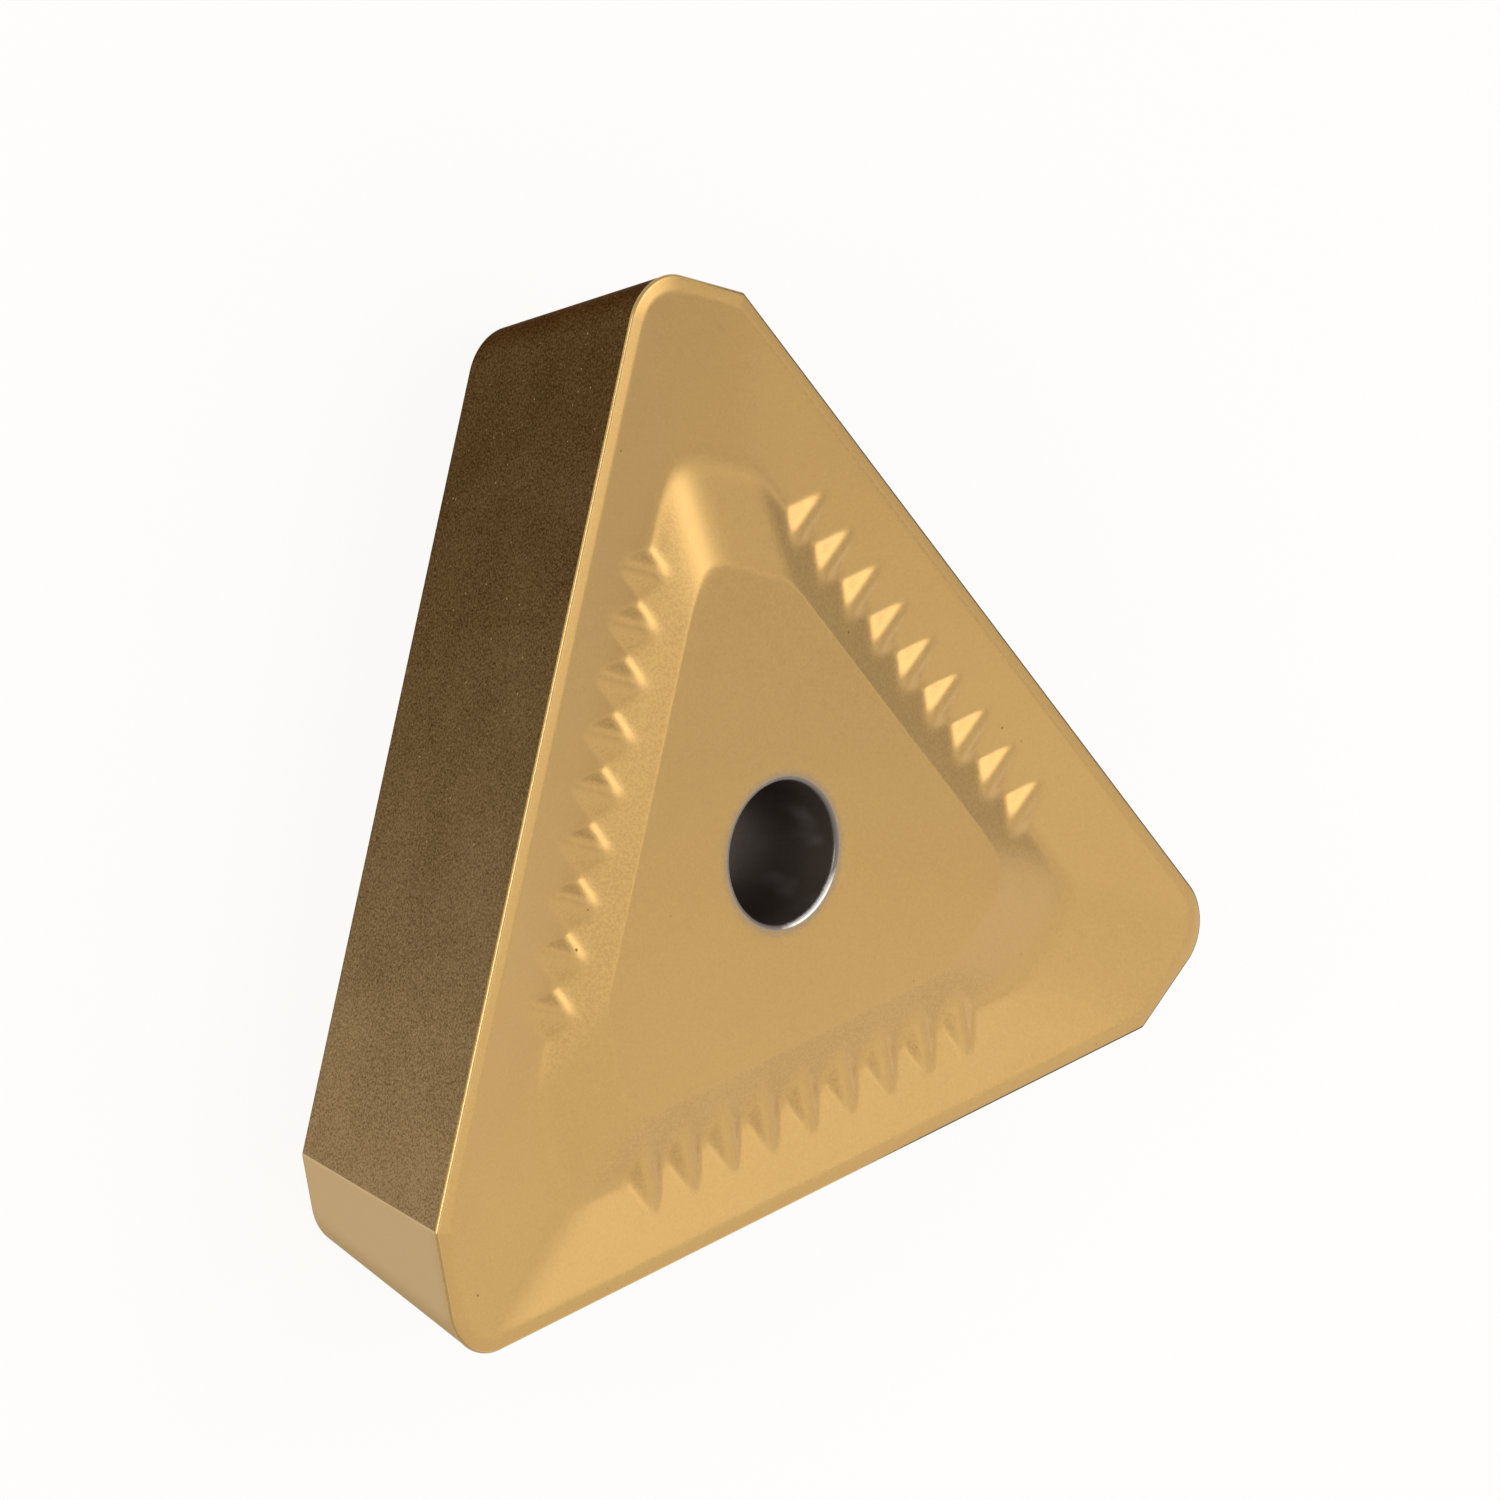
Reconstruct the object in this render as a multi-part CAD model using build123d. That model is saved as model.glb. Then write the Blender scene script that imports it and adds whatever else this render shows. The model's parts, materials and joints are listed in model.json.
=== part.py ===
from build123d import *
from math import atan, cos, degrees, radians, sin, tan
import os

# Indexable carbide milling insert: three corners, right-hand, single-sided, with a wiper edge at each corner.
#
# Frame, in millimetres: the back face lies on z = 0, the bore runs along +Z, and the three corners stand at
# 90, 210 and 330 degrees. Seen from above and going clockwise, each side is a straight main edge, a nose
# radius and a short wiper edge square to it, which ends in a sharp heel on the next main edge.

# --- driving dimensions -------------------------------------------------------------------------------
inscribed_circle = 12.70      # circle that touches the three main cutting edges
wiper_length = 2.60           # of a wiper edge, from its sharp heel to the line of the main edge it meets
thickness = 4.76              # back face to cutting edge
main_clearance = 11.0         # degrees, relief of the main flanks
wiper_clearance = 15.0        # degrees, relief of the wiper flanks
nose_radius = 1.00            # round between a main edge and its wiper

land_width = 0.26             # narrow strip behind every cutting edge
land_angle = 10.0             # degrees, the strip rises inwards
rake_angle = 10.5             # degrees, the rake then falls inwards

pad_height = 0.12             # raised centre pad above the cutting edge
pad_distance = 3.50           # bore axis to the long sides of the pad
pad_short_distance = 4.73     # bore axis to its short sides, which face the wipers
pad_wall_angle = 20.3         # degrees, walls below its long sides
pad_ramp_angle = 12.0         # degrees, ramps below its short sides
pad_hip_radius = 4.0          # round where a wall turns into the ramp beside it

ridge_count = 9               # chip-breaking ridges along each main edge
ridge_pitch = 1.00            # their spacing
ridge_depth = 0.11            # crest below the cutting edge
ridge_flank_angle = 22.0      # degrees, both flanks
ridge_crest_radius = 0.50     # round along the crest

bore_diameter = 2.60          # plain hole for the clamping screw or pin
bore_chamfer = 0.06           # broken edge at both ends of the hole

# --- sizes that follow --------------------------------------------------------------------------------
corner_angles = (90, 210, 330)  # degrees, the direction from the bore to each corner
main_turn_angle = 60            # degrees, from a corner to the way the main edge at its nose faces
wiper_turn_angle = -30          # degrees, from a corner to the way its wiper edge faces

# a wiper runs square to the main edge at its nose, and its heel lies on the next main edge
main_distance = inscribed_circle / 2
heel_turn = radians(main_turn_angle + wiper_turn_angle)
wiper_distance = (main_distance + (main_distance - wiper_length) * sin(heel_turn)) / cos(heel_turn)
land_main_distance = main_distance - land_width
land_wiper_distance = wiper_distance - land_width
plateau = thickness + land_width * tan(radians(land_angle))
pad_level = thickness + pad_height

# the rake and the pad's wall meet in a groove
rake_slope = tan(radians(rake_angle))
wall_slope = tan(radians(pad_wall_angle))
groove_distance = (
    pad_level - plateau + land_main_distance * rake_slope + pad_distance * wall_slope
) / (rake_slope + wall_slope)
groove_level = pad_level - (groove_distance - pad_distance) * wall_slope

# two neighbouring rakes meet in a valley that leads from the nose to the pad
valley_slope = rake_slope * cos(radians(main_turn_angle))
nose_reach = (
    (wiper_distance - nose_radius) * cos(radians(wiper_turn_angle))
    + (main_distance - nose_radius) * cos(radians(main_turn_angle))
    + nose_radius
)

# straight part of a main edge, measured clockwise from the foot of the perpendicular
edge_start = -(wiper_distance - main_distance * cos(heel_turn)) / sin(heel_turn)
edge_end = wiper_distance - nose_radius

reach = 4 * inscribed_circle  # side of the boxes that stand for half-spaces
root = ridge_depth            # how far pad and ridges are sunk below the groove


def outward(azimuth):
    """Unit vector that points away from the bore."""
    return Vector(cos(radians(azimuth)), sin(radians(azimuth)), 0)


def below(azimuth, distance, level, lean):
    """All the space below a plane through one point; its normal leans outwards by this many degrees."""
    normal = outward(azimuth) * sin(radians(lean)) + Vector(0, 0, cos(radians(lean)))
    plane = Plane(origin=outward(azimuth) * distance + Vector(0, 0, level), z_dir=normal)
    return plane * Box(reach, reach, reach, align=(Align.CENTER, Align.CENTER, Align.MAX))


def slab(low, high):
    """A wide plate between two levels."""
    return Pos(0, 0, low) * Box(reach, reach, high - low, align=(Align.CENTER, Align.CENTER, Align.MIN))


def sloping_edges(solid):
    """The edges that aren't level, from the nearest to the bore to the farthest."""
    edges = solid.edges().filter_by(lambda edge: abs(edge.tangent_at(0.5).Z) > 0.01)
    return edges.sort_by(lambda edge: Vector(edge.center().X, edge.center().Y, 0).length)


def make_blank():
    """The insert before its top is pressed: relieved flanks, rounded noses and the land all round."""
    blank = slab(0, plateau)
    for corner in corner_angles:
        blank &= below(corner + main_turn_angle, main_distance, thickness, 90 + main_clearance)
        blank &= below(corner + wiper_turn_angle, wiper_distance, thickness, 90 + wiper_clearance)
    blank = fillet(sloping_edges(blank)[-3:], nose_radius)
    top = blank.faces().sort_by(Axis.Z)[-1]
    rise = plateau - thickness
    across = land_width + rise * tan(radians(main_clearance))
    down = rise / cos(radians(main_clearance))
    return chamfer(top.edges(), across, down, reference=top)


def make_relief():
    """The hollow inside the land: rakes that fall inwards, with a flat-bottomed valley at each corner."""
    relief = slab(groove_level - root, plateau + thickness)
    for corner in corner_angles:
        relief -= below(corner + main_turn_angle, land_main_distance, plateau, -rake_angle)
        relief -= below(corner, nose_reach - land_width, plateau, -degrees(atan(valley_slope)))
        wiper_slope = valley_slope / cos(radians(wiper_turn_angle))
        relief -= below(corner + wiper_turn_angle, land_wiper_distance, plateau, -degrees(atan(wiper_slope)))
    return relief


def make_pad():
    """The raised centre: steep walls along the sides and a gentler ramp towards each corner."""
    pad = slab(groove_level - 2 * root, pad_level)
    for corner in corner_angles:
        pad &= below(corner + main_turn_angle, pad_distance, pad_level, pad_wall_angle)
        pad &= below(corner + wiper_turn_angle, pad_short_distance, pad_level, pad_ramp_angle)
    return fillet(sloping_edges(pad)[-3:], pad_hip_radius)


def make_ridge():
    """One ridge of the main edge that faces along +X: level, round-crested, and square to the edge."""
    lean = radians(ridge_flank_angle)
    crest = thickness - ridge_depth
    foot = groove_level - 2 * root
    side = ridge_crest_radius * sin(lean)
    shoulder = crest - ridge_crest_radius * (1 - cos(lean))
    spread = side + (shoulder - foot) / tan(lean)
    section = make_face(
        ThreePointArc((-side, shoulder), (0, crest), (side, shoulder))
        + Polyline((side, shoulder), (spread, foot), (-spread, foot), (-side, shoulder))
    )
    inwards = Plane(origin=(land_main_distance, 0, 0), x_dir=(0, -1, 0), z_dir=(-1, 0, 0))
    return extrude(inwards * section, land_main_distance - pad_distance)


def make_ridges():
    """The rows of ridges, each centred on the straight part of its main edge."""
    ridge = make_ridge()
    first = (edge_start + edge_end) / 2 - (ridge_count - 1) / 2 * ridge_pitch
    row = [Pos(0, -(first + i * ridge_pitch), 0) * ridge for i in range(ridge_count)]
    return [Rot(0, 0, corner + main_turn_angle) * placed for corner in corner_angles for placed in row]


def make_bore():
    """The hole with its two broken edges."""
    radius = bore_diameter / 2
    wide = radius + bore_chamfer
    profile = Polyline(
        (0, 0),
        (wide, 0),
        (radius, bore_chamfer),
        (radius, pad_level - bore_chamfer),
        (wide, pad_level),
        (0, pad_level),
        close=True,
    )
    return revolve(Plane.XZ * make_face(profile), Axis.Z)


def make_insert():
    body = make_blank() - make_relief()
    body = body + [make_pad()] + make_ridges()
    return body - make_bore()


insert_body = make_insert()
os.makedirs("parts", exist_ok=True)
export_step(insert_body, "parts/insert_body.step")
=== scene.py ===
import json
import math

import bpy
import numpy as np
from bpy.props import FloatProperty, FloatVectorProperty, IntProperty, PointerProperty
from mathutils import Matrix, Vector


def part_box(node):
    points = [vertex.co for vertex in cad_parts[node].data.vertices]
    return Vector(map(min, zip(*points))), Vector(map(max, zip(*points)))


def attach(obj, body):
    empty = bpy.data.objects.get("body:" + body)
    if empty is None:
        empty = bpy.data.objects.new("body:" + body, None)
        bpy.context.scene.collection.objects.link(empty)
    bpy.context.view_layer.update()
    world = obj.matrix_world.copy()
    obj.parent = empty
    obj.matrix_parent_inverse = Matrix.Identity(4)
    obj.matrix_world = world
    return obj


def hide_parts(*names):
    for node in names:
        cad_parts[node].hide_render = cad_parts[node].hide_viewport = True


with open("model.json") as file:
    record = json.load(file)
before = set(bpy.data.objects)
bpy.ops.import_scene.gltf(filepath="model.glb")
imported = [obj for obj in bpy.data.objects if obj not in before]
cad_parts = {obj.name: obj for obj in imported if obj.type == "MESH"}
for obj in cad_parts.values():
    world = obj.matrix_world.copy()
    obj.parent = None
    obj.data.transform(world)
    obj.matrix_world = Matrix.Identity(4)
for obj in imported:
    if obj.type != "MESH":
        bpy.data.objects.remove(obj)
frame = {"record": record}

bl_info = {
    "name": "Carbide Milling Insert",
    "version": (1, 0, 0),
    "blender": (4, 5, 0),
    "location": "View3D > Sidebar > Insert",
    "description": "Builds a coated carbide milling insert with a pressed chipbreaker, on a pale floor",
    "category": "Add Mesh",
}

MM = 0.001
NODE = "insert_body"
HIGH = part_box(NODE)[1]
MOUNTS = {mount["name"]: mount for mount in frame["record"]["mounts"]}
BORE_RADIUS = MOUNTS["pin_bore"]["dims"]["r_mm"] * MM
CORNER_ANGLES = (90, 330, 210)  # clockwise, as the outline runs
MAIN_TURN = 60                  # degrees, from a corner to the way its main edge faces
WIPER_TURN = -30                # degrees, from a corner to the way its wiper edge faces
HEEL_ANGLE = 120                # degrees, from one main edge's normal to the next
HEEL_BEND = math.radians(MAIN_TURN + WIPER_TURN)    # between a wiper and the main edge that follows it
TOP, FLANK, BACK, HOLE, EDGE = range(5)
COARSENING = 3                  # the hole and the back have one column for this many of the outline
HONE_POINTS = 7                 # round the cutting edge, from the land to the flank
EDGE_STRIPS = 3                 # of the six strips between them, from the land, that have their own coat
RIM_POINTS = 5                  # round each rim of the hole
MARGINS = (1.5, 5)              # of the flat ring round the hole, in widths of its rim

# Where the loops lie and how round their corners are. Lengths are in millimetres.
PAD_LOOPS = (-0.14, -0.08, -0.05, -0.025, 0, 0.025, 0.05, 0.08, 0.14)            # from the pad's rim
LAND_LOOPS = (0.10, 0.06, 0.035, 0.018, 0, -0.018, -0.035, -0.06, -0.10, -0.15)  # from the land's inner end
PAD_INSIDE = 0.25               # the innermost loop, from the pad's rim
HOLLOW_START = 0.21             # the first loop of the hollow, from the pad's rim
HOLLOW_STEP = 0.05
HOLLOW_END = 0.16               # the last loop of the hollow, from the land
NOSE_ROUNDS = (0.30, 0.58)      # at the innermost loop and at the outermost
HEEL_ROUNDS = (0.10, 0.02)
SMALLEST_ROUND = 0.02
FLANK_LOOPS = 6
FLANK_START = (0.03, 0.3)       # depth of the first two loops, below the round edge and below the edge
BACK_SHRINK = 0.02              # the coarse loop of the back lies this share inside the fine one
RIDGE_END = (-0.4, -0.1)        # the ridges fade in between these, from the pad's rim

# The finish, where one number serves several coats or says where a mark lies, painted shade and painted
# highlight among them.
SWING = 0.2                     # how much the grain changes the roughness
WALL_TILT = (0.016, 0.05)       # one minus the normal's z, from level ground to a wall
RAGGED = 0.10                   # millimetres, along the tarnish's outer end
RIM_LEVELS = (0.10, 0.03)       # millimetres below the pad, from the bore's wall to its rim, which carries painted highlight
SHALLOW = 3.0                   # millimetres below the pad, where the rubbed streaks have faded out
HIGHLIGHT_WAY = math.radians(-69)  # from the bore axis to the middle of the painted highlight on the rim
SHADED_WAY = 2.5                  # millimetres towards +x, where the painted shade on the line over the edge is full

# The stage: each lamp's azimuth and elevation in degrees, then its distance and width in metres.
LAMPS = {
    "key": (22, 60, 0.182, 0.100),
    "top": (-24, 85, 0.136, 0.139),
    "side": (-58, 37, 0.045, 0.043),
    "low": (-25, 14, 0.046, 0.018),
    "front": (156, 22, 0.150, 0.056),
    "fill": (-14, 36, 0.120, 0.036),
}
FLOOR_SIZE = 2                  # metres
FLOOR_DROP = 0.02               # millimetres below the insert
LENS = 463.8                    # millimetres, on a sensor of the width below
SENSOR = 36
CAMERA_PLACE = Vector((-216.501, 111.012, 249.201))
CAMERA_AXES = (                 # its right, its up and its back
    Vector((0.70132, -0.16428, 0.69366)),
    Vector((0.33638, 0.93419, -0.11886)),
    Vector((-0.62849, 0.31669, 0.71043)),
)


def length(name, description, value):
    """A size in metres, typed in millimetres."""
    return FloatProperty(
        name=name, description=description, default=value * MM, min=0, unit="LENGTH", precision=6,
    )


def angle(name, description, degrees):
    """An angle in radians, typed in degrees."""
    return FloatProperty(name=name, description=description, default=math.radians(degrees), subtype="ANGLE")


def colour(name, description, value):
    """A linear colour."""
    return FloatVectorProperty(
        name=name, description=description, default=value, subtype="COLOR", min=0, max=1,
    )


def amount(name, description, value):
    """A plain number that isn't negative."""
    return FloatProperty(name=name, description=description, default=value, min=0)


# --- settings -----------------------------------------------------------------------------------------

class OutlineSettings(bpy.types.PropertyGroup):
    """The ground outline of the insert and its hole."""
    inscribed_circle: length("Inscribed circle", "Circle that touches the three main edges", 12.70)
    wiper_length: length("Wiper length", "From the heel to the line of the main edge", 2.60)
    pad_height: length("Pad height", "The centre pad above the cutting edge", 0.12)
    main_clearance: angle("Main clearance", "Relief of the main flanks", 11)
    wiper_clearance: angle("Wiper clearance", "Relief of the wiper flanks", 15)
    nose_radius: length("Nose radius", "Round between a main edge and its wiper", 1.0)
    heel_radius: length("Heel radius", "Slight round where a wiper ends", 0.13)
    hone_radius: length("Hone radius", "Round of the cutting edge itself", 0.055)
    rim: length("Rim", "Broken edge of the hole; the back face has half of it", 0.08)


class ChipbreakerSettings(bpy.types.PropertyGroup):
    """The pressed top: land, rake, valleys, pad and ridges."""
    land_width: length("Land width", "Strip behind every cutting edge", 0.26)
    land_angle: angle("Land angle", "The strip rises inwards", 10)
    rake_angle: angle("Rake angle", "The rake falls inwards", 10.5)
    pad_distance: length("Pad distance", "Bore axis to the long sides of the pad", 3.50)
    pad_short_distance: length("Pad short distance", "Bore axis to the sides that face the wipers", 4.73)
    pad_wall_angle: angle("Pad wall angle", "Walls below the long sides", 20.3)
    pad_ramp_angle: angle("Pad ramp angle", "Ramps below the short sides", 12)
    pad_hip: length("Pad hip", "Softness where a wall turns into the ramp beside it", 0.375)
    ridge_count: IntProperty(name="Ridges", description="Ridges along each main edge", default=9, min=1)
    ridge_pitch: length("Ridge pitch", "Distance from ridge to ridge", 1.0)
    ridge_depth: length("Ridge depth", "Crest below the cutting edge", 0.11)
    ridge_flank_angle: angle("Ridge flank angle", "Slope of a ridge's two sides", 22)
    ridge_crest_radius: length("Ridge crest radius", "Round along the crest", 0.50)
    land_blend: length("Land blend", "Softness where the land turns into the rake", 0.030)
    valley_blend: length("Valley blend", "Softness along the corner valleys", 0.100)
    pad_blend: length("Pad blend", "Softness along the pad's top", 0.014)
    ramp_blend: length("Ramp blend", "Softness where a ramp turns into the next wall", 0.060)
    groove_blend: length("Groove blend", "Softness of the groove below the pad's walls and ramps", 0.125)
    foot_blend: length("Foot blend", "Softness at the foot of the ridges", 0.026)


class MeshSettings(bpy.types.PropertyGroup):
    """How finely the insert is divided."""
    main_columns: IntProperty(name="Main columns", description="Steps along a main edge", default=297, min=3)
    nose_columns: IntProperty(name="Nose columns", description="Steps round a nose", default=33, min=3)
    wiper_columns: IntProperty(name="Wiper columns", description="Steps along a wiper", default=36, min=3)
    heel_columns: IntProperty(name="Heel columns", description="Steps round a heel", default=6, min=3)


# --- the blank: outline, flanks, back and hole ----------------------------------------------------------

def edge_start(main, wiper):
    """Where a main edge begins, at the wiper before it, measured along it from its middle normal."""
    return (main * math.cos(HEEL_BEND) - wiper) / math.sin(HEEL_BEND)


def outline(cut, main, wiper, nose, heel):
    """One closed loop of points, clockwise, with the main edges, wipers and rounds at these distances.

    Each side is worked out in its own frame: o points outwards across the main edge, t runs along it.
    """
    heel_centre = ((wiper - heel) * math.cos(HEEL_BEND) - (main - heel)) / math.sin(HEEL_BEND)
    start = edge_start(main, wiper) + heel * math.tan(HEEL_BEND / 2)
    along = np.linspace(start, wiper - nose, cut.main_columns, endpoint=False)
    nose_turn = np.radians(np.linspace(0, 90, cut.nose_columns, endpoint=False))
    across = np.linspace(main - nose, heel_centre, cut.wiper_columns, endpoint=False)
    heel_turn = np.radians(np.linspace(90, HEEL_ANGLE, cut.heel_columns, endpoint=False))
    o = np.concatenate([
        np.full_like(along, main),
        main - nose + nose * np.cos(nose_turn),
        across,
        heel_centre + heel * np.cos(heel_turn),
    ])
    t = np.concatenate([
        along,
        wiper - nose + nose * np.sin(nose_turn),
        np.full_like(across, wiper),
        wiper - heel + heel * np.sin(heel_turn),
    ])
    sides = []
    for corner in CORNER_ANGLES:
        facing = math.radians(corner + MAIN_TURN)
        running = math.radians(corner + WIPER_TURN)
        sides.append(np.column_stack([
            o * math.cos(facing) + t * math.cos(running),
            o * math.sin(facing) + t * math.sin(running),
        ]))
    return np.concatenate(sides)


def hone(radius, clearance, land):
    """The round of the cutting edge, from the land to the flank: pairs of inset and rise."""
    half = (math.pi / 2 - clearance + land) / 2
    middle = Vector((math.sin(clearance) + math.cos(land), math.sin(land) - math.cos(clearance))).normalized()
    centre = middle * (radius / math.sin(half))
    turns = np.linspace(math.pi / 2 + land, math.pi + clearance, HONE_POINTS)
    return [(centre.x + radius * math.cos(turn), centre.y + radius * math.sin(turn)) for turn in turns]


def quarter_round(radius):
    """Pairs of inset and drop along a quarter round, from its level end to its upright end."""
    turns = np.linspace(0, math.pi / 2, RIM_POINTS)
    return [(radius * (1 - math.sin(turn)), radius * (1 - math.cos(turn))) for turn in turns]


def edge_distances(sizes):
    """How far the main edges and the wiper edges lie from the bore axis."""
    main = sizes.inscribed_circle / 2
    return main, (main + (main - sizes.wiper_length) * math.sin(HEEL_BEND)) / math.cos(HEEL_BEND)


def blank_loops(sizes, press, cut):
    """The closed loops round the insert: over the top, down the flanks, along the back and up the hole.

    Each is (points, level, surface); the surface lies between it and the loop before.
    The top is left as tall stock here, for the press to shape.
    """
    main, wiper = edge_distances(sizes)
    edge_level = HIGH.z - sizes.pad_height
    stock = HIGH.z + sizes.pad_height
    loops = []

    # the raised pad and the hollow round it: from just inside the pad out to the land
    inner = press.pad_distance - PAD_INSIDE * MM
    outer = main - press.land_width - HOLLOW_END * MM
    spread = (wiper - (main - outer) - press.pad_short_distance) / (outer - press.pad_distance)
    pad_edge = press.pad_distance + np.array(PAD_LOOPS) * MM
    hollow = np.arange(press.pad_distance + HOLLOW_START * MM, outer, HOLLOW_STEP * MM)
    for distance in (inner, *pad_edge, *hollow, outer):
        share = (distance - inner) / (outer - inner)
        points = outline(
            cut,
            distance,
            press.pad_short_distance + (distance - press.pad_distance) * spread,
            (NOSE_ROUNDS[0] + share * (NOSE_ROUNDS[1] - NOSE_ROUNDS[0])) * MM,
            (HEEL_ROUNDS[0] + share * (HEEL_ROUNDS[1] - HEEL_ROUNDS[0])) * MM,
        )
        loops.append((points, stock, TOP))

    # the land, then the round of the edge itself
    round_edge = hone(sizes.hone_radius, sizes.main_clearance, press.land_angle)
    land_insets = press.land_width + np.array(LAND_LOOPS) * MM
    land = [(inset, inset * math.tan(press.land_angle)) for inset in land_insets]
    kinds = [TOP] * (len(land) + 1) + [EDGE] * EDGE_STRIPS
    kinds += [TOP] * (len(land) + len(round_edge) - len(kinds))
    for (inset, rise), surface in zip(land + round_edge, kinds):
        points = outline(
            cut,
            main - inset,
            wiper - inset,
            sizes.nose_radius - inset,
            max(sizes.heel_radius - inset, SMALLEST_ROUND * MM),
        )
        loops.append((points, edge_level + rise, surface))

    # the flanks lean inwards, each by its own clearance
    top_depth = -round_edge[-1][1]
    rim = sizes.rim / 2
    spaced = np.linspace(FLANK_START[1] * MM, edge_level - 2 * rim, FLANK_LOOPS)
    depths = [top_depth + FLANK_START[0] * MM, *spaced, edge_level - rim]
    for depth in depths:
        points = outline(
            cut,
            main - depth * math.tan(sizes.main_clearance),
            wiper - depth * math.tan(sizes.wiper_clearance),
            sizes.nose_radius,
            sizes.heel_radius,
        )
        loops.append((points, edge_level - depth, FLANK))

    # the back face
    for inset in (rim, 2 * rim):
        points = outline(
            cut,
            main - edge_level * math.tan(sizes.main_clearance) - inset,
            wiper - edge_level * math.tan(sizes.wiper_clearance) - inset,
            sizes.nose_radius - inset,
            sizes.heel_radius - inset,
        )
        loops.append((points, 0, BACK))
    coarse = points[::COARSENING] * (1 - BACK_SHRINK)
    loops.append((coarse, 0, BACK))

    # the hole, from the back to the top, and a flat margin round it
    angles = np.arctan2(coarse[:, 1], coarse[:, 0])
    ring = np.column_stack([np.cos(angles), np.sin(angles)])
    lower = [(BORE_RADIUS + inset, drop) for inset, drop in quarter_round(sizes.rim)]
    upper = [(radius, HIGH.z - drop) for radius, drop in reversed(lower)]
    for radius, level in [(BORE_RADIUS + 2 * sizes.rim, 0), *lower]:
        loops.append((ring * radius, level, HOLE if level else BACK))
    for radius, level in upper:
        loops.append((ring * radius, level, HOLE))
    for margin in MARGINS:
        loops.append((ring * (BORE_RADIUS + margin * sizes.rim), stock, TOP))
    return loops


def flank_shares(cut):
    """For each column of the outline: how far it is along its main edge, and how much of it is wiper."""
    main = np.linspace(0, 1, cut.main_columns, endpoint=False)
    nose = np.linspace(0, 1, cut.nose_columns, endpoint=False)
    rest = np.ones(cut.wiper_columns + cut.heel_columns)
    along = np.concatenate([main, np.ones_like(nose), rest])
    wiper = np.concatenate([np.zeros_like(main), nose, rest])
    return np.tile(along, len(CORNER_ANGLES)), np.tile(wiper, len(CORNER_ANGLES))


def blank_mesh(loops, shares):
    """Skins the loops into one closed mesh; every face remembers which surface it belongs to."""
    points, starts = [], []
    for loop, level, _ in loops:
        starts.append(len(points))
        points.extend((x, y, level) for x, y in loop)
    faces, surfaces = [], []
    for i, (loop, _, _) in enumerate(loops):
        following = (i + 1) % len(loops)
        here, there, count, next_count = starts[i], starts[following], len(loop), len(loops[following][0])
        step, next_step = count // min(count, next_count), next_count // min(count, next_count)
        surface = loops[following][2]
        for k in range(min(count, next_count)):
            near = [here + (k * step + j) % count for j in range(step + 1)]
            far = [there + (k * next_step + j) % next_count for j in range(next_step + 1)]
            faces.append(near + far[::-1])
            surfaces.append(surface)
    mesh = bpy.data.meshes.new("insert")
    mesh.from_pydata(points, [], faces)
    attribute = mesh.attributes.new("surface", "INT", "FACE")
    attribute.data.foreach_set("value", surfaces)
    for name, share in zip(("along_edge", "wiper_share"), shares):
        values = [share if len(loop) == len(share) else share[::COARSENING] for loop, _, _ in loops]
        attribute = mesh.attributes.new(name, "FLOAT", "POINT")
        attribute.data.foreach_set("value", np.concatenate(values))
    mesh.shade_smooth()
    return mesh


# --- node trees -----------------------------------------------------------------------------------------

class Value:
    """A number inside a node tree; each sum made with it adds a Math node."""

    def __init__(self, tree, socket):
        self.tree = tree
        self.socket = socket

    def math(self, operation, *others):
        """What this operation makes of the value and the others."""
        node = self.tree.nodes.new("ShaderNodeMath")
        node.operation = operation
        for pin, value in zip(node.inputs, (self, *others)):
            feed(self.tree, value, pin)
        return Value(self.tree, node.outputs[0])

    def __add__(self, other):
        return self.math("ADD", other)

    def __sub__(self, other):
        return self.math("SUBTRACT", other)

    def __mul__(self, other):
        return self.math("MULTIPLY", other)

    def __truediv__(self, other):
        return self.math("DIVIDE", other)

    def between(self, low, high):
        """0 below low, 1 above high, and a smooth step from one to the other."""
        node = self.tree.nodes.new("ShaderNodeMapRange")
        node.interpolation_type = "SMOOTHSTEP"
        feed(self.tree, self, node.inputs["Value"])
        feed(self.tree, low, node.inputs["From Min"])
        feed(self.tree, high, node.inputs["From Max"])
        return Value(self.tree, node.outputs["Result"])


def feed(tree, value, pin):
    """Links a Value or socket to a node's input, or sets the input to a plain value."""
    if isinstance(value, Value):
        value = value.socket
    if isinstance(value, bpy.types.NodeSocket):
        tree.links.new(value, pin)
    else:
        pin.default_value = value


def node(tree, kind, settings=None, **inputs):
    """Adds a node; the inputs are given by their names, with _ for a space."""
    made = tree.nodes.new(kind)
    for name, value in (settings or {}).items():
        setattr(made, name, value)
    for name, value in inputs.items():
        pin = next(pin for pin in made.inputs if pin.enabled and pin.name == name.replace("_", " "))
        feed(tree, value, pin)
    return made


def lowest(values, blend):
    """The smooth minimum of several values."""
    result = values[0]
    for value in values[1:]:
        result = result.math("SMOOTH_MIN", value, blend)
    return result


def highest(values, blend):
    """The smooth maximum of several values."""
    result = values[0]
    for value in values[1:]:
        result = result.math("SMOOTH_MAX", value, blend)
    return result


# --- the press: it shapes the top of the blank ----------------------------------------------------------

PRESS_SIZES = (
    "land_width", "land_angle", "rake_angle", "pad_distance", "pad_short_distance", "pad_wall_angle",
    "pad_ramp_angle", "pad_hip", "ridge_count", "ridge_pitch", "ridge_depth", "ridge_flank_angle",
    "ridge_crest_radius", "land_blend", "valley_blend", "pad_blend", "ramp_blend", "groove_blend",
    "foot_blend",
)
BLANK_SIZES = ("main_distance", "wiper_distance", "nose_reach", "edge_level", "pad_height", "edge_middle")
COATS = ("coating", "flank_coating", "back_coating", "bare_carbide", "edge_coating")   # TOP to EDGE


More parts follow.
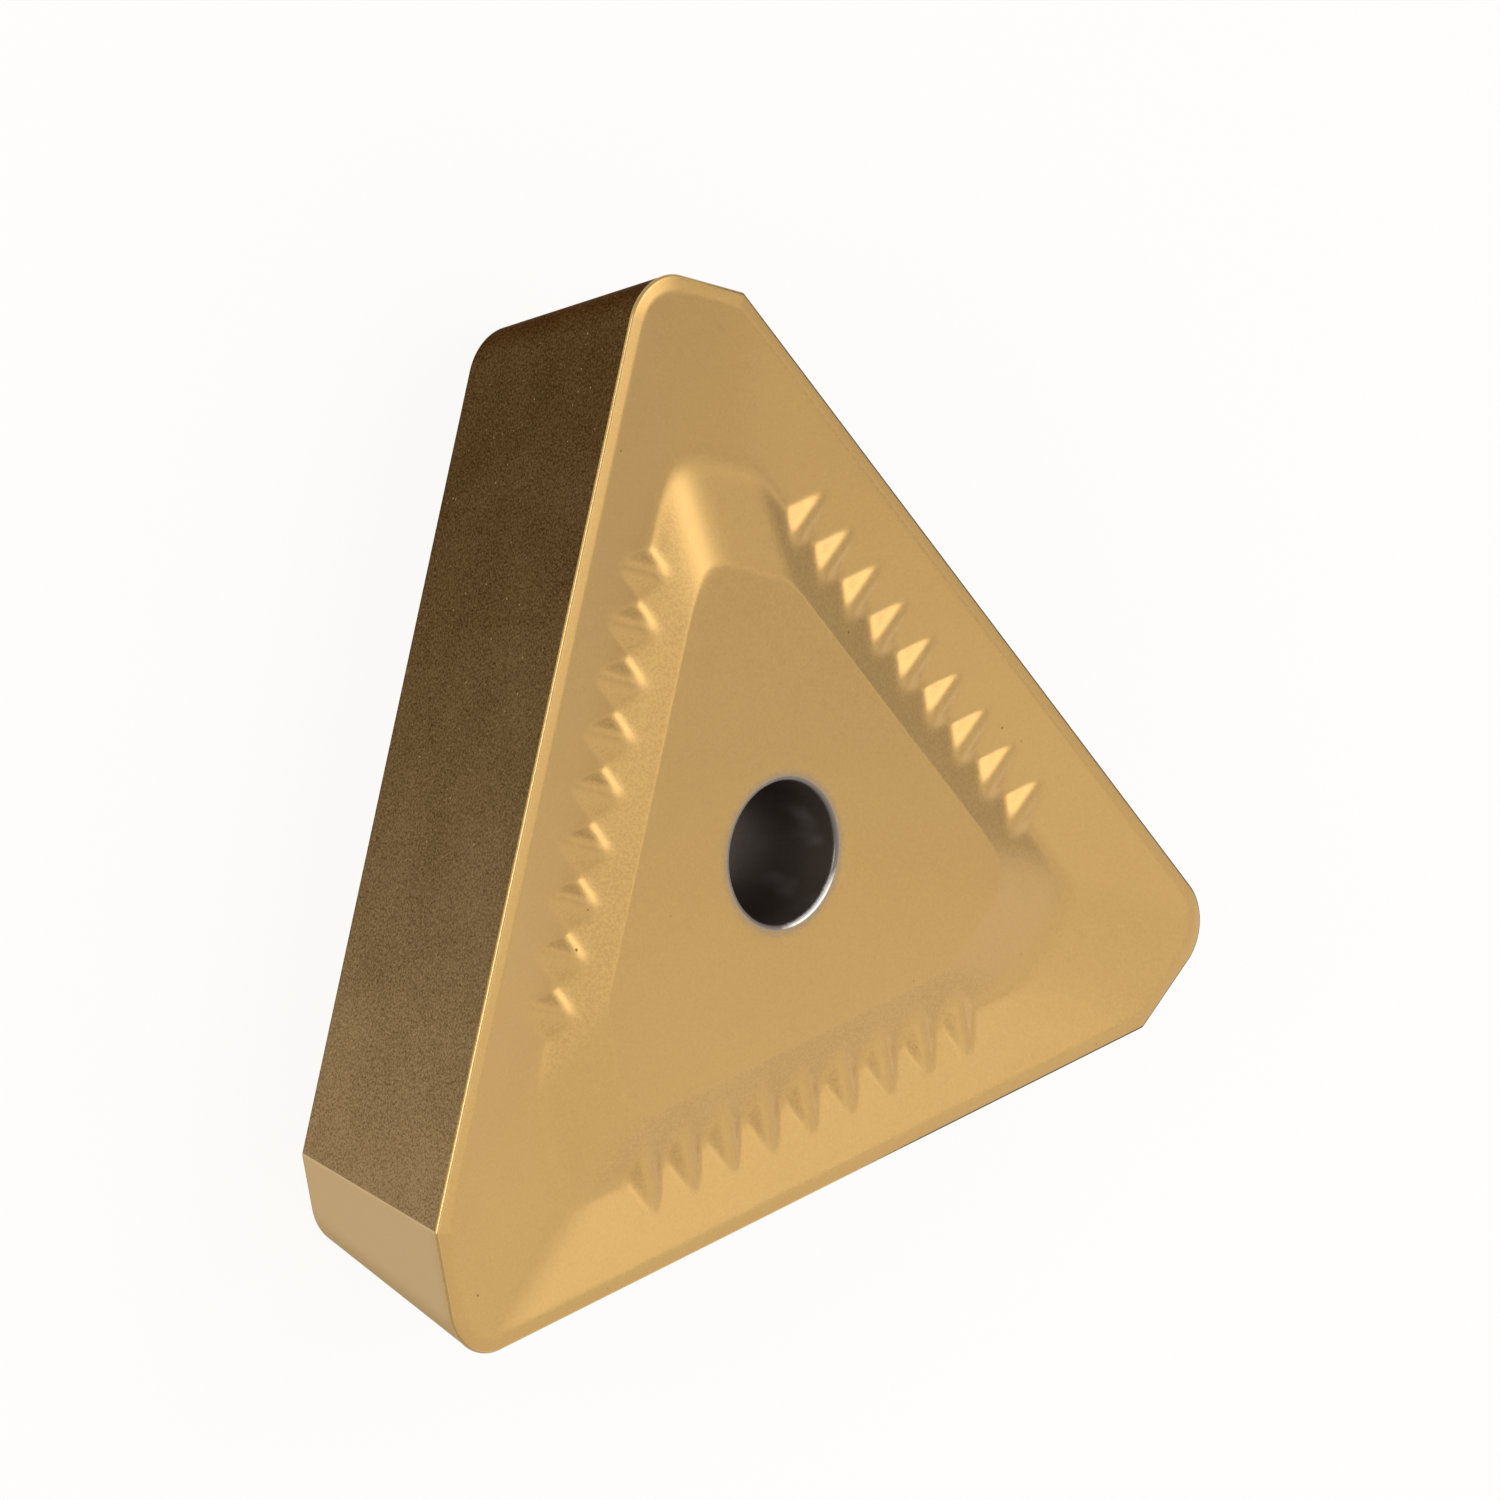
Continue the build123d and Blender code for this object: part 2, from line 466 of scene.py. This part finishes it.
def ridge_height(size, along):
    """Height of the row of ridges at this place along a main edge."""
    first = size["edge_middle"] - (size["ridge_count"] - 1) * size["ridge_pitch"] * 0.5
    place = ((along - first) / size["ridge_pitch"]).math("ROUND")
    place = place.math("MAXIMUM", 0).math("MINIMUM", size["ridge_count"] - 1)
    aside = (along - first - place * size["ridge_pitch"]).math("ABSOLUTE")
    slope = size["ridge_flank_angle"].math("TANGENT")
    rounded = aside.math("MINIMUM", slope * size["ridge_crest_radius"])
    drop = rounded * rounded / (size["ridge_crest_radius"] * 2) + (aside - rounded) * slope
    return drop * -1 - size["ridge_depth"]


def pad_height(size, beyond_side, beyond_short):
    """Height of one corner of the raised pad, with a soft hip between its wall and its ramp."""
    wall = beyond_side * size["pad_wall_angle"].math("TANGENT")
    ramp = beyond_short * size["pad_ramp_angle"].math("TANGENT")
    return size["pad_height"] - wall.math("SMOOTH_MAX", ramp, size["pad_hip"])


def press_tree():
    """Geometry nodes that press the chipbreaker into the blank and give each surface its coat."""
    tree = bpy.data.node_groups.new("Chipbreaker press", "GeometryNodeTree")
    tree.interface.new_socket(name="Geometry", in_out="INPUT", socket_type="NodeSocketGeometry")
    for name in BLANK_SIZES + PRESS_SIZES:
        tree.interface.new_socket(name=name, in_out="INPUT", socket_type="NodeSocketFloat")
    for name in COATS:
        tree.interface.new_socket(name=name, in_out="INPUT", socket_type="NodeSocketMaterial")
    tree.interface.new_socket(name="Geometry", in_out="OUTPUT", socket_type="NodeSocketGeometry")
    entry = tree.nodes.new("NodeGroupInput")
    size = {name: Value(tree, entry.outputs[name]) for name in BLANK_SIZES + PRESS_SIZES}

    position = tree.nodes.new("GeometryNodeInputPosition").outputs["Position"]
    split = node(tree, "ShaderNodeSeparateXYZ", Vector=position)
    x, y, z = (Value(tree, split.outputs[axis]) for axis in "XYZ")

    def towards(degrees):
        """Distance from the bore axis in this direction."""
        return x * math.cos(math.radians(degrees)) + y * math.sin(math.radians(degrees))

    rake_slope = size["rake_angle"].math("TANGENT")
    valley_slope = rake_slope * math.cos(math.radians(MAIN_TURN))
    wiper_slope = valley_slope / math.cos(math.radians(WIPER_TURN))
    land_rise = size["land_width"] * size["land_angle"].math("TANGENT")
    floors, pads, ridges = [], [], []
    for corner in CORNER_ANGLES:
        side = towards(corner + MAIN_TURN)
        short = towards(corner + WIPER_TURN)
        for far, here, slope in (
            ("main_distance", side, rake_slope),
            ("nose_reach", towards(corner), valley_slope),
            ("wiper_distance", short, wiper_slope),
        ):
            floors.append(land_rise - (size[far] - size["land_width"] - here) * slope)
        pads.append(pad_height(size, side - size["pad_distance"], short - size["pad_short_distance"]))
        on_this_side = (side - size["pad_distance"]).between(*(end * MM for end in RIDGE_END))
        ridges.append(ridge_height(size, short) - (on_this_side * -1 + 1) * MM)
    pad = lowest(pads, size["ramp_blend"]).math("SMOOTH_MIN", size["pad_height"], size["pad_blend"])
    ridged = highest([highest(floors, size["valley_blend"]), *ridges], size["foot_blend"])
    pressed = ridged.math("SMOOTH_MAX", pad, size["groove_blend"]) + size["edge_level"]
    level = z.math("SMOOTH_MIN", pressed, size["land_blend"])
    place = node(tree, "ShaderNodeCombineXYZ", X=x, Y=y, Z=level)

    shaped = node(
        tree, "GeometryNodeSetPosition", Geometry=entry.outputs["Geometry"], Position=place.outputs[0],
    )
    finished = node(tree, "GeometryNodeRealizeInstances", Geometry=shaped.outputs["Geometry"])
    surface = node(tree, "GeometryNodeInputNamedAttribute", {"data_type": "INT"}, Name="surface")
    for number, name in enumerate(COATS):
        chosen = node(
            tree, "FunctionNodeCompare", {"data_type": "INT", "operation": "EQUAL"},
            A=surface.outputs["Attribute"], B=number,
        )
        finished = node(
            tree, "GeometryNodeSetMaterial",
            Geometry=finished.outputs["Geometry"],
            Selection=chosen.outputs["Result"],
            Material=entry.outputs[name],
        )
    leave = tree.nodes.new("NodeGroupOutput")
    tree.links.new(finished.outputs["Geometry"], leave.inputs["Geometry"])
    return tree


# --- finishes -------------------------------------------------------------------------------------------

class FinishSettings(bpy.types.PropertyGroup):
    """Colours and grain of the coated and bare surfaces, with painted shade and painted highlights among
    them.
    """
    gold: colour("Gold", "The nitride coating on the pressed top and the back", (0.470, 0.285, 0.105))
    bright_gold: colour("Bright gold", "The lighter half of the coating's grain", (0.530, 0.334, 0.119))
    pit: colour("Pit", "Small pits in the coating", (0.14, 0.085, 0.035))
    tarnish: colour("Tarnish", "Greyer ring where the coating thins round the hole", (0.22, 0.205, 0.19))
    # Painted shade: the main flank's dark reflection, deepest beside the nose and lighter beside the heel.
    flank_deep_shade: colour("Dark flank", "Main flank beside the nose", (0.070, 0.040, 0.0135))
    flank_light_shade: colour("Light flank", "Main flank beside the heel", (0.382, 0.261, 0.135))
    flank_edge: colour("Flank edge", "Tint of a flank seen at a low angle", (0.30, 0.24, 0.18))
    # Painted light: the wiper flank is painted lighter than the gold coat, for the bright reflection it
    # shows.
    wiper: colour("Wiper", "The smoother wiper flank", (0.655, 0.485, 0.275))
    sparkle: colour("Sparkle", "Bright crystals in the flank", (0.55, 0.38, 0.20))
    # Painted light: the line over the edge is lighter than the gold, for light the round edge catches.
    # Painted shade: towards +x it is dark, for the dark reflection it shows there.
    edge: colour("Edge", "Line where the coating thins over the cutting edge", (0.60, 0.40, 0.16))
    shaded_edge: colour("Worn edge", "The same line on the more worn side", (0.085, 0.068, 0.052))
    carbide: colour("Carbide", "Bare carbide inside the hole", (0.110, 0.084, 0.068))
    # Also painted highlight: the rim is lightened a little all round and strongly in a crescent on one side.
    rubbed_and_lit_carbide: colour("Worn carbide", "Rubbed streaks and rim of the hole", (0.80, 0.76, 0.71))
    top_roughness: amount("Top roughness", "Of the pressed top", 0.34)
    flank_roughness: amount("Flank roughness", "Of the ground flanks", 0.50)
    hole_roughness: amount("Hole roughness", "Of the bare carbide", 0.36)
    grain: length("Grain", "Size of the coating's grain", 0.055)
    grain_depth: length("Grain depth", "How far the grain stands out", 0.0012)
    pit_spacing: length("Pit spacing", "Usual distance between pits", 0.42)
    ring_width: length("Ring width", "Of the tarnish round the hole", 0.28)


def group_tree(name, inputs, outputs):
    """An empty shader group with these sockets."""
    tree = bpy.data.node_groups.new(name, "ShaderNodeTree")
    tree.interface.new_socket(name="Place", in_out="INPUT", socket_type="NodeSocketVector")
    for socket in inputs:
        tree.interface.new_socket(name=socket, in_out="INPUT", socket_type="NodeSocketFloat")
    for socket in outputs:
        tree.interface.new_socket(name=socket, in_out="OUTPUT", socket_type="NodeSocketFloat")
    entry = tree.nodes.new("NodeGroupInput")
    leave = tree.nodes.new("NodeGroupOutput")
    return tree, {name: Value(tree, entry.outputs[name]) for name in ("Place", *inputs)}, leave


def grain_group():
    """Fine grain with slow clouds in it: Tone lies round 0.5, and Height is the grain alone."""
    tree, size, leave = group_tree("Sintered grain", ("Grain", "Clouds"), ("Tone", "Height"))
    per_metre = size["Grain"].math("POWER", -1)
    fine = node(tree, "ShaderNodeTexNoise", Vector=size["Place"], Scale=per_metre, Detail=2.0, Roughness=0.6)
    wide = node(tree, "ShaderNodeTexNoise", Vector=size["Place"], Scale=per_metre * 0.03, Detail=3.0)
    height = Value(tree, fine.outputs["Fac"])
    clouds = (Value(tree, wide.outputs["Fac"]) - 0.5) * size["Clouds"]
    feed(tree, height + clouds, leave.inputs["Tone"])
    feed(tree, height, leave.inputs["Height"])
    return tree


def speck_group():
    """Separate small spots of different sizes: Mask is 1 in a spot."""
    tree, size, leave = group_tree("Specks", ("Spacing", "Radius", "Share"), ("Mask",))
    per_metre = size["Spacing"].math("POWER", -1)
    cells = node(tree, "ShaderNodeTexVoronoi", Vector=size["Place"], Scale=per_metre)
    chance = node(tree, "ShaderNodeSeparateColor", Color=cells.outputs["Color"])
    chosen = Value(tree, chance.outputs["Red"]).math("LESS_THAN", size["Share"])
    radius = size["Radius"] * (Value(tree, chance.outputs["Green"]) * 0.8 + 0.4)
    away = Value(tree, cells.outputs["Distance"]) * size["Spacing"] / radius
    feed(tree, (away.between(0.5, 1.0) * -1 + 1) * chosen, leave.inputs["Mask"])
    return tree


def placed(tree, group, **inputs):
    """Places a shader group, built once, in a material and gives its outputs as Values."""
    build = {"Sintered grain": grain_group, "Specks": speck_group}[group]
    made = tree.nodes.new("ShaderNodeGroup")
    made.node_tree = bpy.data.node_groups.get(group) or build()
    for name, value in inputs.items():
        feed(tree, value, made.inputs[name])
    return {output.name: Value(tree, output) for output in made.outputs}


def blended(tree, share, low, high):
    """The colour low where share is 0 and high where it is 1."""
    low, high = (
        value if isinstance(value, bpy.types.NodeSocket) else (*value, 1) for value in (low, high)
    )
    mixer = node(tree, "ShaderNodeMix", {"data_type": "RGBA"}, Factor=share, A=low, B=high)
    return next(output for output in mixer.outputs if output.enabled)


def bumped(tree, height, strength, distance):
    """The normal that this height gives."""
    return node(tree, "ShaderNodeBump", Height=height, Strength=strength, Distance=distance).outputs["Normal"]


def new_material(name, metallic):
    """A material with its tree, its shader and the place on the insert."""
    made = bpy.data.materials.new(name)
    made.use_nodes = True
    tree = made.node_tree
    shader = tree.nodes["Principled BSDF"]
    shader.inputs["Metallic"].default_value = metallic
    coordinates = tree.nodes.new("ShaderNodeTexCoord")
    return made, tree, shader, coordinates.outputs["Object"]


def nitride_coating(finish):
    """The satin gold of the pressed top: grain, pits, and a greyer ring round the hole."""
    made, tree, shader, place = new_material("nitride_coating", 1)
    grain = placed(tree, "Sintered grain", Place=place, Grain=finish.grain, Clouds=0.25)
    pits = placed(
        tree, "Specks", Place=place, Spacing=finish.pit_spacing, Radius=0.032 * MM, Share=0.18,
    )["Mask"]
    facing = node(tree, "ShaderNodeSeparateXYZ", Vector=node(tree, "ShaderNodeNewGeometry").outputs["Normal"])
    slope = (Value(tree, facing.outputs["Z"]) * -1 + 1).between(*WALL_TILT)
    contrast = slope * 2.6 + 1.5
    tone = ((grain["Tone"] - 0.5) * contrast + 0.5).math("MAXIMUM", 0).math("MINIMUM", 1)
    split = node(tree, "ShaderNodeSeparateXYZ", Vector=place)
    radius = node(tree, "ShaderNodeCombineXYZ", X=split.outputs["X"], Y=split.outputs["Y"])
    from_axis = node(tree, "ShaderNodeVectorMath", {"operation": "LENGTH"}, Vector=radius.outputs[0])
    ragged = Value(tree, from_axis.outputs["Value"]) + (grain["Tone"] - 0.5) * (RAGGED * MM)
    ring = ragged.between(BORE_RADIUS, BORE_RADIUS + finish.ring_width) * -1 + 1
    base = blended(tree, tone, finish.gold, finish.bright_gold)
    base = blended(tree, ring * 0.7, base, finish.tarnish)
    base = blended(tree, pits * 0.8, base, finish.pit)
    feed(tree, base, shader.inputs["Base Color"])
    feed(tree, (grain["Height"] - 0.5) * 0.16 + pits * 0.2 + finish.top_roughness, shader.inputs["Roughness"])
    height = grain["Height"] * (slope * 1.5 + 1) - pits * 3
    feed(tree, bumped(tree, height, 0.8, finish.grain_depth), shader.inputs["Normal"])
    return made


def flank_coating(finish):
    """The ground flanks: coarse bronze along the main edges with painted shade, deepest beside the nose;
    smoother tan on the wipers, painted lighter as painted light.
    """
    made, tree, shader, place = new_material("flank_coating", 1)
    shader.inputs["Specular Tint"].default_value = (*finish.flank_edge, 1)
    along, wiper = (
        Value(tree, node(tree, "ShaderNodeAttribute", {"attribute_name": name}).outputs["Fac"])
        for name in ("along_edge", "wiper_share")
    )
    grain = placed(tree, "Sintered grain", Place=place, Grain=finish.grain * 0.8, Clouds=0.2)
    sparkles = placed(tree, "Specks", Place=place, Spacing=0.11 * MM, Radius=0.020 * MM, Share=0.13)["Mask"]
    # painted shade along the main flank, deepest at the nose and least at the heel
    less_shade = (along * -1 + 1).math("POWER", 1.8)
    grainy = (grain["Tone"] - 0.5) * (less_shade * 1.4 + 0.9)
    share = (less_shade * 0.75 + grainy + 0.12).math("MAXIMUM", 0).math("MINIMUM", 1)
    main = blended(tree, share, finish.flank_deep_shade, finish.flank_light_shade)
    split = node(tree, "ShaderNodeSeparateXYZ", Vector=place)
    # painted light: the lighter tan of the wipers, which reaches further round the nose where y is low
    late = Value(tree, split.outputs["Y"]).between(-5 * MM, 5 * MM) * 0.6 + 0.05
    base = blended(tree, (wiper - late).between(0, 0.35), main, finish.wiper)
    base = blended(tree, sparkles * (wiper * -0.8 + 1) * 0.7, base, finish.sparkle)
    feed(tree, base, shader.inputs["Base Color"])
    feed(tree, (grain["Height"] - 0.5) * SWING + finish.flank_roughness, shader.inputs["Roughness"])
    height = grain["Height"] * (wiper * -0.6 + 1)
    feed(tree, bumped(tree, height, 0.8, finish.grain_depth * 2), shader.inputs["Normal"])
    return made


def back_coating(finish):
    """The seat face: the same gold over the fine straight marks of grinding."""
    made, tree, shader, place = new_material("back_coating", 1)
    drawn = node(tree, "ShaderNodeMapping", Vector=place, Rotation=(0, 0, 0.4), Scale=(1, 26, 1))
    marks = placed(tree, "Sintered grain", Place=drawn.outputs[0], Grain=1.2 * MM, Clouds=0.2)
    grain = placed(tree, "Sintered grain", Place=place, Grain=finish.grain, Clouds=0.3)
    tone = ((marks["Tone"] - 0.5) * 1.4 + grain["Tone"]).math("MAXIMUM", 0).math("MINIMUM", 1)
    feed(tree, blended(tree, tone, finish.gold, finish.bright_gold), shader.inputs["Base Color"])
    feed(tree, (marks["Height"] - 0.5) * 0.25 + finish.top_roughness, shader.inputs["Roughness"])
    height = marks["Height"] * 2 + grain["Height"]
    feed(tree, bumped(tree, height, 0.5, finish.grain_depth), shader.inputs["Normal"])
    return made


def edge_coating(finish):
    """The uneven line over the round of the cutting edge: gold painted lighter than the top as painted light,
    with painted shade towards +x.
    """
    made, tree, shader, place = new_material("edge_coating", 1)
    grain = placed(tree, "Sintered grain", Place=place, Grain=finish.grain, Clouds=0.4)
    split = node(tree, "ShaderNodeSeparateXYZ", Vector=place)
    # painted shade: the line darkens towards +x
    shaded = (Value(tree, split.outputs["X"]) + (grain["Tone"] - 0.5) * (2 * MM)).between(0, SHADED_WAY * MM)
    feed(tree, blended(tree, shaded, finish.edge, finish.shaded_edge), shader.inputs["Base Color"])
    feed(tree, (grain["Height"] - 0.5) * SWING + finish.top_roughness, shader.inputs["Roughness"])
    feed(tree, bumped(tree, grain["Height"], 0.8, finish.grain_depth), shader.inputs["Normal"])
    return made


def bare_carbide(finish):
    """Inside the hole: dark bare carbide with streaks from rubbing, and painted highlight on its broken rims,
    strongest in a crescent on one side.
    """
    made, tree, shader, place = new_material("bare_carbide", 0.6)
    drawn = node(tree, "ShaderNodeMapping", Vector=place, Scale=(1, 1, 0.5))
    streaks = placed(tree, "Sintered grain", Place=drawn.outputs[0], Grain=0.8 * MM, Clouds=0.5)
    grain = placed(tree, "Sintered grain", Place=place, Grain=finish.grain, Clouds=0.3)
    split = node(tree, "ShaderNodeSeparateXYZ", Vector=place)
    level = Value(tree, split.outputs["Z"]) + (grain["Tone"] - 0.5) * (0.08 * MM)
    # painted highlight: a crescent of the rim on one side is lightened
    rim = level.between(*(HIGH.z - depth * MM for depth in RIM_LEVELS))
    towards = node(tree, "ShaderNodeVectorMath", {"operation": "DOT_PRODUCT"}, Vector=place)
    towards.inputs[1].default_value = (math.cos(HIGHLIGHT_WAY), math.sin(HIGHLIGHT_WAY), 0)
    reach = Value(tree, towards.outputs["Value"]) / BORE_RADIUS + (grain["Tone"] - 0.5) * 0.1
    crescent = rim * reach.between(0.78, 1.0) * 0.9
    shallow = Value(tree, split.outputs["Z"]).between(HIGH.z - SHALLOW * MM, HIGH.z)
    rubbed_and_lit = streaks["Tone"].between(0.45, 0.80) * shallow * 0.3
    # painted highlight: the whole rim is lightened a little, the crescent much more
    rubbed_and_lit = rubbed_and_lit.math("MAXIMUM", rim * 0.10).math("MAXIMUM", crescent)
    feed(tree, blended(tree, rubbed_and_lit, finish.carbide, finish.rubbed_and_lit_carbide), shader.inputs["Base Color"])
    feed(tree, (grain["Height"] - 0.5) * SWING + finish.hole_roughness, shader.inputs["Roughness"])
    height = streaks["Height"] * 2 + grain["Height"]
    feed(tree, bumped(tree, height, 0.7, finish.grain_depth * 2), shader.inputs["Normal"])
    return made


# --- operators ------------------------------------------------------------------------------------------

class INSERT_OT_body(bpy.types.Operator):
    """Make the insert: press its top, coat it and let it stand for the plain solid"""
    bl_idname = "insert.body"
    bl_label = "Insert"

    def execute(self, context):
        sizes = context.scene.insert_outline
        press = context.scene.insert_chipbreaker
        cut = context.scene.insert_mesh
        finish = context.scene.insert_finish
        main, wiper = edge_distances(sizes)
        nose_reach = (
            (wiper - sizes.nose_radius) * math.cos(math.radians(WIPER_TURN))
            + (main - sizes.nose_radius) * math.cos(math.radians(MAIN_TURN))
            + sizes.nose_radius
        )
        values = {name: getattr(press, name) for name in PRESS_SIZES}
        values |= {
            "main_distance": main,
            "wiper_distance": wiper,
            "nose_reach": nose_reach,
            "edge_level": HIGH.z - sizes.pad_height,
            "pad_height": sizes.pad_height,
            "edge_middle": (edge_start(main, wiper) + wiper - sizes.nose_radius) / 2,
            "coating": nitride_coating(finish),
            "flank_coating": flank_coating(finish),
            "back_coating": back_coating(finish),
            "bare_carbide": bare_carbide(finish),
            "edge_coating": edge_coating(finish),
        }
        blank = blank_mesh(blank_loops(sizes, press, cut), flank_shares(cut))
        insert = bpy.data.objects.new("insert", blank)
        context.scene.collection.objects.link(insert)
        modifier = insert.modifiers.new("Press", "NODES")
        modifier.node_group = press_tree()
        for item in modifier.node_group.interface.items_tree:
            if item.in_out == "INPUT" and item.name in values:
                modifier[item.identifier] = values[item.name]
        shaped = insert.evaluated_get(context.evaluated_depsgraph_get())
        mesh = bpy.data.meshes.new_from_object(shaped)
        insert.modifiers.remove(modifier)
        insert.data = mesh
        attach(insert, "root")
        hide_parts(NODE)
        return {"FINISHED"}


class StageSettings(bpy.types.PropertyGroup):
    """Floor, lamps and sky; a lamp's glow of 1 is as bright as a white ground."""
    floor: colour("Floor", "Pale floor", (0.90, 0.885, 0.865))
    ground: colour("Ground", "What the floor shows by itself", (1.0, 0.992, 0.975))
    ground_share: FloatProperty(name="Ground share", description="How much of it", default=0.92, min=0, max=1)
    low_sky: amount("Low sky", "Light from the horizon", 0.60)
    high_sky: amount("High sky", "Light from overhead", 0.64)
    key: amount("Key", "Glow of the large lamp", 2.28)
    top: amount("Top", "Glow of the lamp overhead", 0.50)
    side: amount("Side", "Glow of the near lamp beside the insert", 0.55)
    low: amount("Low", "Glow of the small low lamp", 0.85)
    front: amount("Front", "Glow of the small lamp on the near side", 8.5)
    fill: amount("Fill", "Glow of the small lamp opposite the front one", 0.65)


def lamp(name, azimuth, elevation, distance, size, glow):
    """A soft round lamp that looks at the insert from this direction."""
    data = bpy.data.lights.new(name, "AREA")
    data.shape = "DISK"
    data.size = size
    data.energy = glow * (math.pi * size / 2) ** 2
    made = bpy.data.objects.new(name, data)
    made.visible_camera = False
    bpy.context.scene.collection.objects.link(made)
    flat = math.cos(math.radians(elevation))
    direction = Vector((
        flat * math.cos(math.radians(azimuth)), flat * math.sin(math.radians(azimuth)),
        math.sin(math.radians(elevation)),
    ))
    made.location = direction * distance
    made.rotation_euler = direction.to_track_quat("Z", "Y").to_euler()


def floor_material(stage):
    """A pale floor that takes the insert's shadow and shows as an almost white ground."""
    made = bpy.data.materials.new("pale_floor")
    made.use_nodes = True
    tree = made.node_tree
    shader = tree.nodes["Principled BSDF"]
    shader.inputs["Roughness"].default_value = 0.9
    shader.inputs["Specular IOR Level"].default_value = 0
    coordinates = tree.nodes.new("ShaderNodeTexCoord")
    mottle = node(tree, "ShaderNodeTexNoise", Vector=coordinates.outputs["Object"], Scale=60.0, Detail=3.0)
    darker = tuple(part * 0.97 for part in stage.floor)
    feed(tree, blended(tree, mottle.outputs["Fac"], darker, stage.floor), shader.inputs["Base Color"])
    ground = node(tree, "ShaderNodeEmission", Color=(*stage.ground, 1), Strength=1.0)
    ray = tree.nodes.new("ShaderNodeLightPath")
    seen = Value(tree, ray.outputs["Is Camera Ray"])
    for kind in ("Is Glossy Ray", "Is Transmission Ray"):
        seen = seen.math("MAXIMUM", ray.outputs[kind])
    mixer = node(tree, "ShaderNodeMixShader")
    feed(tree, seen * stage.ground_share, mixer.inputs[0])
    tree.links.new(shader.outputs[0], mixer.inputs[1])
    tree.links.new(ground.outputs[0], mixer.inputs[2])
    tree.links.new(mixer.outputs[0], tree.nodes["Material Output"].inputs["Surface"])
    return made


def soft_sky(stage):
    """An even sky, a little brighter overhead."""
    world = bpy.data.worlds.new("sky")
    world.use_nodes = True
    tree = world.node_tree
    coordinates = tree.nodes.new("ShaderNodeTexCoord")
    split = node(tree, "ShaderNodeSeparateXYZ", Vector=coordinates.outputs["Generated"])
    rise = Value(tree, split.outputs["Z"]).between(0.1, 0.95)
    background = tree.nodes["Background"]
    background.inputs["Color"].default_value = (1, 1, 1, 1)
    feed(tree, rise * (stage.high_sky - stage.low_sky) + stage.low_sky, background.inputs["Strength"])
    return world


class INSERT_OT_stage(bpy.types.Operator):
    """Lay the floor and set the lamps, the sky and the camera"""
    bl_idname = "insert.stage"
    bl_label = "Stage"

    def execute(self, context):
        scene = context.scene
        stage = scene.insert_stage
        scene.view_settings.view_transform = "Standard"
        bpy.ops.mesh.primitive_plane_add(size=FLOOR_SIZE, location=(0, 0, -FLOOR_DROP * MM))
        floor = context.object
        floor.name = "floor"
        floor.data.materials.append(floor_material(stage))

        scene.world = soft_sky(stage)
        for name, where in LAMPS.items():
            lamp(name, *where, getattr(stage, name))

        data = bpy.data.cameras.new("camera")
        data.sensor_width = SENSOR
        data.lens = LENS
        data.clip_start = 0.01
        data.clip_end = 10
        camera = bpy.data.objects.new("camera", data)
        scene.collection.objects.link(camera)
        turned = Matrix(CAMERA_AXES).transposed().to_4x4()
        camera.matrix_world = Matrix.Translation(CAMERA_PLACE * MM) @ turned
        scene.camera = camera
        return {"FINISHED"}


class INSERT_PT_panel(bpy.types.Panel):
    """The insert's pieces and settings"""
    bl_label = "Insert"
    bl_space_type = "VIEW_3D"
    bl_region_type = "UI"
    bl_category = "Insert"

    def draw(self, context):
        for operator in OPERATORS:
            self.layout.operator(operator.bl_idname)
        for name, settings in SETTINGS.items():
            box = self.layout.box()
            for field in settings.__annotations__:
                box.prop(getattr(context.scene, name), field)


SETTINGS = {
    "insert_outline": OutlineSettings,
    "insert_chipbreaker": ChipbreakerSettings,
    "insert_mesh": MeshSettings,
    "insert_finish": FinishSettings,
    "insert_stage": StageSettings,
}
OPERATORS = (INSERT_OT_body, INSERT_OT_stage)


def register():
    """Makes the settings, the operators and the panel known."""
    for name, settings in SETTINGS.items():
        bpy.utils.register_class(settings)
        setattr(bpy.types.Scene, name, PointerProperty(type=settings))
    for operator in OPERATORS:
        bpy.utils.register_class(operator)
    bpy.utils.register_class(INSERT_PT_panel)


def unregister():
    """Takes them away again."""
    bpy.utils.unregister_class(INSERT_PT_panel)
    for operator in OPERATORS:
        bpy.utils.unregister_class(operator)
    for name, settings in SETTINGS.items():
        delattr(bpy.types.Scene, name)
        bpy.utils.unregister_class(settings)


def main():
    """Builds the insert and its stage."""
    register()
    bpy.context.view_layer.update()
    bpy.ops.insert.body()
    bpy.ops.insert.stage()
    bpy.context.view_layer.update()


if __name__ == "__main__":
    main()
